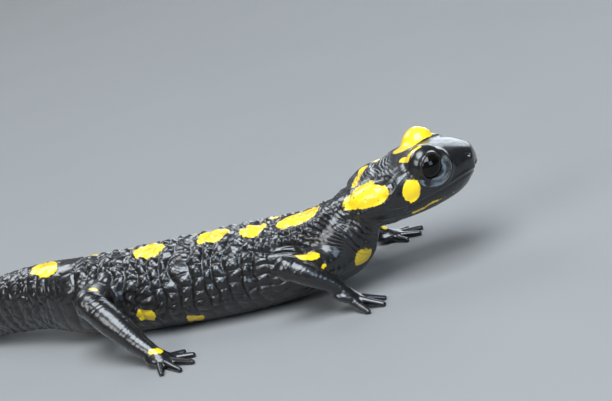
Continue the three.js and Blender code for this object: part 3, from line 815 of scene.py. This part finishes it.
# eye openings: the lids wrap the eyeball and end in a rounded rim
q = to_head(p)
globe = EYE["radius"]
eye_mask, around = np.zeros(len(p)), np.zeros(len(p))
for side in (1, -1):
    mirror = np.array([1, side, 1])
    centre = np.array(EYE["place"]) * mirror
    ray = q - centre
    far = length(ray)
    turned = np.arccos(np.clip((ray @ (EYE_AXIS * mirror)) / np.maximum(far, 1e-6), -1, 1))
    # the upper lid comes down further behind than in front
    lean = (ray @ (LID_SIDE * mirror)) / np.maximum(far * np.sin(turned), 1e-6)
    rim = turned - OPENING * (1 - LIDS["droop"] * lean)
    lid = globe + LIDS["gap"] + LIDS["rim"] * hump(rim - 0.13, 0.12)
    near = (far < globe + LIDS["reach"]) & (turned < LIDS["round"])
    faces_out = step(0.45, 0.85, (skin_normals @ HEAD_TURN * ray).sum(1) / np.maximum(far, 1e-6))
    close = 1 - step(1.0, LIDS["reach"], far - globe)
    wanted = far + (lid - far) * (1 - step(0.18, 0.85, rim)) * faces_out * close
    inside = (1 - step(-0.10, 0.03, rim)) * faces_out
    wanted = wanted + (globe - LIDS["tuck"] - wanted) * inside
    stripes = 0.04 * ridges(rim / 0.085, 0.8) * within(0.45, 0.95, rim, 0.12) * step(0.1, 0.7, lean)
    moved = centre + ray / np.maximum(far, 1e-6)[:, None] * (wanted + stripes)[:, None]
    q = np.where(near[:, None], moved, q)
    eye_mask = np.maximum(eye_mask, np.where(near, 1 - step(0.0, 0.06, rim), 0))
    around = np.maximum(around, near * step(0.10, 0.16, rim))
p = from_head(q)

# the folded places are relaxed once more, against pinched faces, and nothing goes below the floor
neck = within(NECK - 1.5, NECK + 2, row, 0.5) * np.maximum(is_body, is_head * (x_head < 7))
p = p + np.maximum(around, slit)[:, None] * (relaxed(p, edges, 4) - p)
p = p + np.maximum(0.7 * neck, hollow)[:, None] * (relaxed(p, edges, 8) - p)
p[:, 2] = np.maximum(p[:, 2], 0.0)

# ------------------------------------------------------------------ what the material reads

marking = marking * (1 - eye_mask) + NO_SPOT * eye_mask
gland_mask = 1 - step(0.2, 0.9, gland_out)


def store(obj, name, values):
    attribute = obj.data.attributes.new(name, "FLOAT", "POINT")
    attribute.data.foreach_set("value", values.astype(np.float32))


# ------------------------------------------------------------------ materials


class Nodes:
    """Short names for making a material's nodes."""

    def __init__(self, name):
        self.material = bpy.data.materials.new(name)
        self.material.use_nodes = True
        self.tree = self.material.node_tree
        self.shader = self.tree.nodes["Principled BSDF"]

    def put(self, kind, inputs=None, **settings):
        node = self.tree.nodes.new(kind)
        for key, value in settings.items():
            setattr(node, key, value)
        for key, value in (inputs or {}).items():
            self.feed(node.inputs[key], value)
        return node

    def feed(self, socket, value):
        if isinstance(value, bpy.types.NodeSocket):
            self.tree.links.new(value, socket)
        else:
            socket.default_value = value

    def math(self, operation, a, b=0.0):
        return self.put("ShaderNodeMath", {0: a, 1: b}, operation=operation).outputs[0]

    def attribute(self, name):
        return self.put("ShaderNodeAttribute", attribute_name=name).outputs["Fac"]

    def place(self):
        """The object's own coordinates, in millimetres."""
        coordinates = self.put("ShaderNodeTexCoord").outputs["Object"]
        return self.put("ShaderNodeVectorMath", {0: coordinates, 1: (1 / MM,) * 3},
                        operation="MULTIPLY").outputs[0]

    def noise(self, vector, scale, detail=2.0):
        return self.put("ShaderNodeTexNoise",
                        {"Vector": vector, "Scale": scale, "Detail": detail}).outputs["Fac"]

    def range(self, value, low, high, to_low=0.0, to_high=1.0):
        return self.put("ShaderNodeMapRange", {"Value": value, "From Min": low, "From Max": high,
                                               "To Min": to_low, "To Max": to_high},
                        interpolation_type="SMOOTHSTEP").outputs[0]

    def mix(self, share, a, b):
        return self.put("ShaderNodeMix", {0: share, 6: a, 7: b}, data_type="RGBA").outputs[2]

    def bump(self, height, distance, strength=1.0, normal=None):
        inputs = {"Height": height, "Distance": distance, "Strength": strength}
        if normal is not None:
            inputs["Normal"] = normal
        return self.put("ShaderNodeBump", inputs).outputs[0]

    def set(self, **inputs):
        for key, value in inputs.items():
            self.feed(self.shader.inputs[key.replace("_", " ")], value)


BLACK = ((0.0022, 0.0020, 0.0022, 1), (0.0055, 0.0048, 0.0050, 1))
YELLOW = ((0.80, 0.50, 0.004, 1), (0.92, 0.66, 0.012, 1))
PUPIL = (0.0008, 0.0008, 0.001, 1)
IRIS = ((0.002, 0.0015, 0.001, 1), (0.007, 0.0045, 0.0025, 1))
GREY = ((0.215, 0.215, 0.21, 1), (0.235, 0.233, 0.228, 1))


def skin_material():
    """Wet black skin with yellow patches that have ragged edges, and dark pores on the glands."""
    m = Nodes("salamander_skin")
    at = m.place()
    edge = m.math("MULTIPLY", m.math("SUBTRACT", m.noise(at, 1.6, 3.0), 0.5), 0.55)
    yellow = m.range(m.math("ADD", m.attribute("marking"), edge), -0.07, 0.09)
    pore = m.put("ShaderNodeTexVoronoi", {"Vector": at, "Scale": 0.78}).outputs["Distance"]
    dots = m.math("MULTIPLY", m.range(pore, 0.16, 0.10), m.attribute("gland"))
    yellow = m.math("MULTIPLY", yellow, m.math("SUBTRACT", 1.0, dots))
    black = m.mix(m.noise(at, 0.35, 2.0), *BLACK)
    lemon = m.mix(m.noise(at, 0.7, 3.0), *YELLOW)
    m.set(Base_Color=m.mix(yellow, black, lemon))
    m.set(Roughness=m.range(m.noise(at, 1.1, 3.0), 0.3, 0.7, 0.30, 0.45))
    m.set(IOR=1.42, Specular_IOR_Level=0.5, Coat_Weight=1.0, Coat_Roughness=0.16, Coat_IOR=1.45)
    wave = m.math("ABSOLUTE", m.math("SINE", m.math("MULTIPLY", m.attribute("crease_phase"), math.pi)))
    creased = m.bump(m.math("MULTIPLY", m.math("POWER", wave, 0.7), m.attribute("crease_depth")), MM)
    m.set(Normal=m.bump(m.noise(at, 3.2, 4.0), 0.06 * MM, 0.8, creased))
    return m.material


def eye_material():
    """A dark glossy eye; "turned" is the angle from its axis, in radians."""
    m = Nodes("salamander_eye")
    at = m.place()
    turned = m.attribute("turned")
    iris = m.mix(m.noise(at, 5.0, 4.0), *IRIS)
    m.set(Base_Color=m.mix(m.range(turned, 0.50, 0.62), PUPIL, iris))
    m.set(Roughness=0.3, Specular_IOR_Level=0.0, Coat_Weight=1.0, Coat_Roughness=0.04, Coat_IOR=1.36)
    return m.material


def floor_material():
    m = Nodes("pale_floor")
    at = m.place()
    m.set(Base_Color=m.mix(m.noise(at, 0.02, 3.0), *GREY), Roughness=0.85)
    return m.material


# ------------------------------------------------------------------ pieces

skin.data.vertices.foreach_set("co", (p * MM).ravel())
skin.data.update()
skin.data.shade_smooth()
for name, values in (("marking", marking), ("gland", gland_mask),
                     ("crease_phase", crease_phase), ("crease_depth", crease_depth)):
    store(skin, name, values)
skin.data.materials.clear()
skin.data.materials.append(skin_material())
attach(skin, "root")
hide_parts(*[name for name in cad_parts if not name.startswith("eye_")])

eyeball = eye_material()
for name, side in (("left", 1), ("right", -1)):
    mirror = np.array([1, side, 1])
    axis = Vector(HEAD_TURN @ (EYE_AXIS * mirror))
    centre = from_head(np.array(EYE["place"]) * mirror)
    rings = ball_rings(np.zeros(3), np.eye(3), [2 * EYE["radius"]] * 3, count=48, sides=64)
    v, faces = outward(rings)
    turn = np.array(axis.to_track_quat("X", "Z").to_matrix())
    eye = make_object(f"eyeball_{name}", (v @ turn.T + centre) * MM, faces)
    eye.data.shade_smooth()
    store(eye, "turned", np.arccos(np.clip(v[:, 0] / EYE["radius"], -1, 1)))
    eye.data.materials.append(eyeball)
    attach(eye, "root")
    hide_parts(f"eye_{name}")

FLOOR = 3                                   # metres each way from the row's origin
corners = [(-FLOOR, -FLOOR, 0), (FLOOR, -FLOOR, 0), (FLOOR, FLOOR, 0), (-FLOOR, FLOOR, 0)]
floor = make_object("floor", np.array(corners, float), [(0, 1, 2, 3)])
floor.data.materials.append(floor_material())

# ------------------------------------------------------------------ light and camera

# degrees and metres; the camera looks at a point this far to the right of and above the row's origin
CAMERA = dict(azimuth=20.0, elevation=17.0, roll=-18.0, distance=0.34444, lens=100.0,
              right=0.02412, up=0.01574)
TARGET = Vector((20, 0, 8)) * MM            # what the lamps point at


def softbox(name, toward, distance, size, watts, colour):
    """A lamp of that width and depth, that way from the target and facing it."""
    data = bpy.data.lights.new(name, "AREA")
    data.shape, data.size, data.size_y = "RECTANGLE", *size
    data.energy, data.color = watts, colour
    lamp = bpy.data.objects.new(name, data)
    way = Vector(toward).normalized()
    face = way.to_track_quat("Z", "Y").to_matrix()
    lamp.matrix_world = Matrix.Translation(TARGET + way * distance) @ face.to_4x4()
    bpy.context.scene.collection.objects.link(lamp)


softbox("overhead", (0.10, -0.34, 0.93), 0.80, (0.50, 0.60), 11.0, (0.84, 0.92, 1.0))
softbox("rear", (0.0, 0.93, 0.35), 1.40, (0.9, 0.9), 7.0, (0.84, 0.92, 1.0))
softbox("rear_left", (-0.60, 0.45, 0.62), 0.90, (0.4, 0.4), 2.6, (0.88, 0.94, 1.0))
softbox("ahead", (0.66, -0.60, 0.42), 0.90, (0.42, 0.42), 2.6, (0.60, 0.79, 1.0))
softbox("front", (-0.45, -0.72, 0.53), 0.90, (0.38, 0.38), 3.2, (0.96, 0.98, 1.0))

world = bpy.data.worlds.new("studio")
world.use_nodes = True
sky = world.node_tree.nodes["Background"].inputs
sky["Color"].default_value = (0.80, 0.88, 1.0, 1)
sky["Strength"].default_value = 0.12
bpy.context.scene.world = world
bpy.context.scene.view_settings.view_transform = "Standard"

a, e = math.radians(CAMERA["azimuth"]), math.radians(CAMERA["elevation"])
back_way = Vector((math.sin(a) * math.cos(e), -math.cos(a) * math.cos(e), math.sin(e)))
camera_data = bpy.data.cameras.new("camera")
camera_data.lens, camera_data.sensor_width = CAMERA["lens"], 36.0
camera_data.clip_start, camera_data.clip_end = 0.01, 20.0
camera = bpy.data.objects.new("camera", camera_data)
right_way = Vector((math.cos(a), math.sin(a), 0))
middle = right_way * CAMERA["right"] + back_way.cross(right_way) * CAMERA["up"]
camera.matrix_world = (Matrix.Translation(middle + back_way * CAMERA["distance"])
                       @ (-back_way).to_track_quat("-Z", "Y").to_matrix().to_4x4()
                       @ Matrix.Rotation(math.radians(CAMERA["roll"]), 4, "Z"))
bpy.context.scene.collection.objects.link(camera)
bpy.context.scene.camera = camera
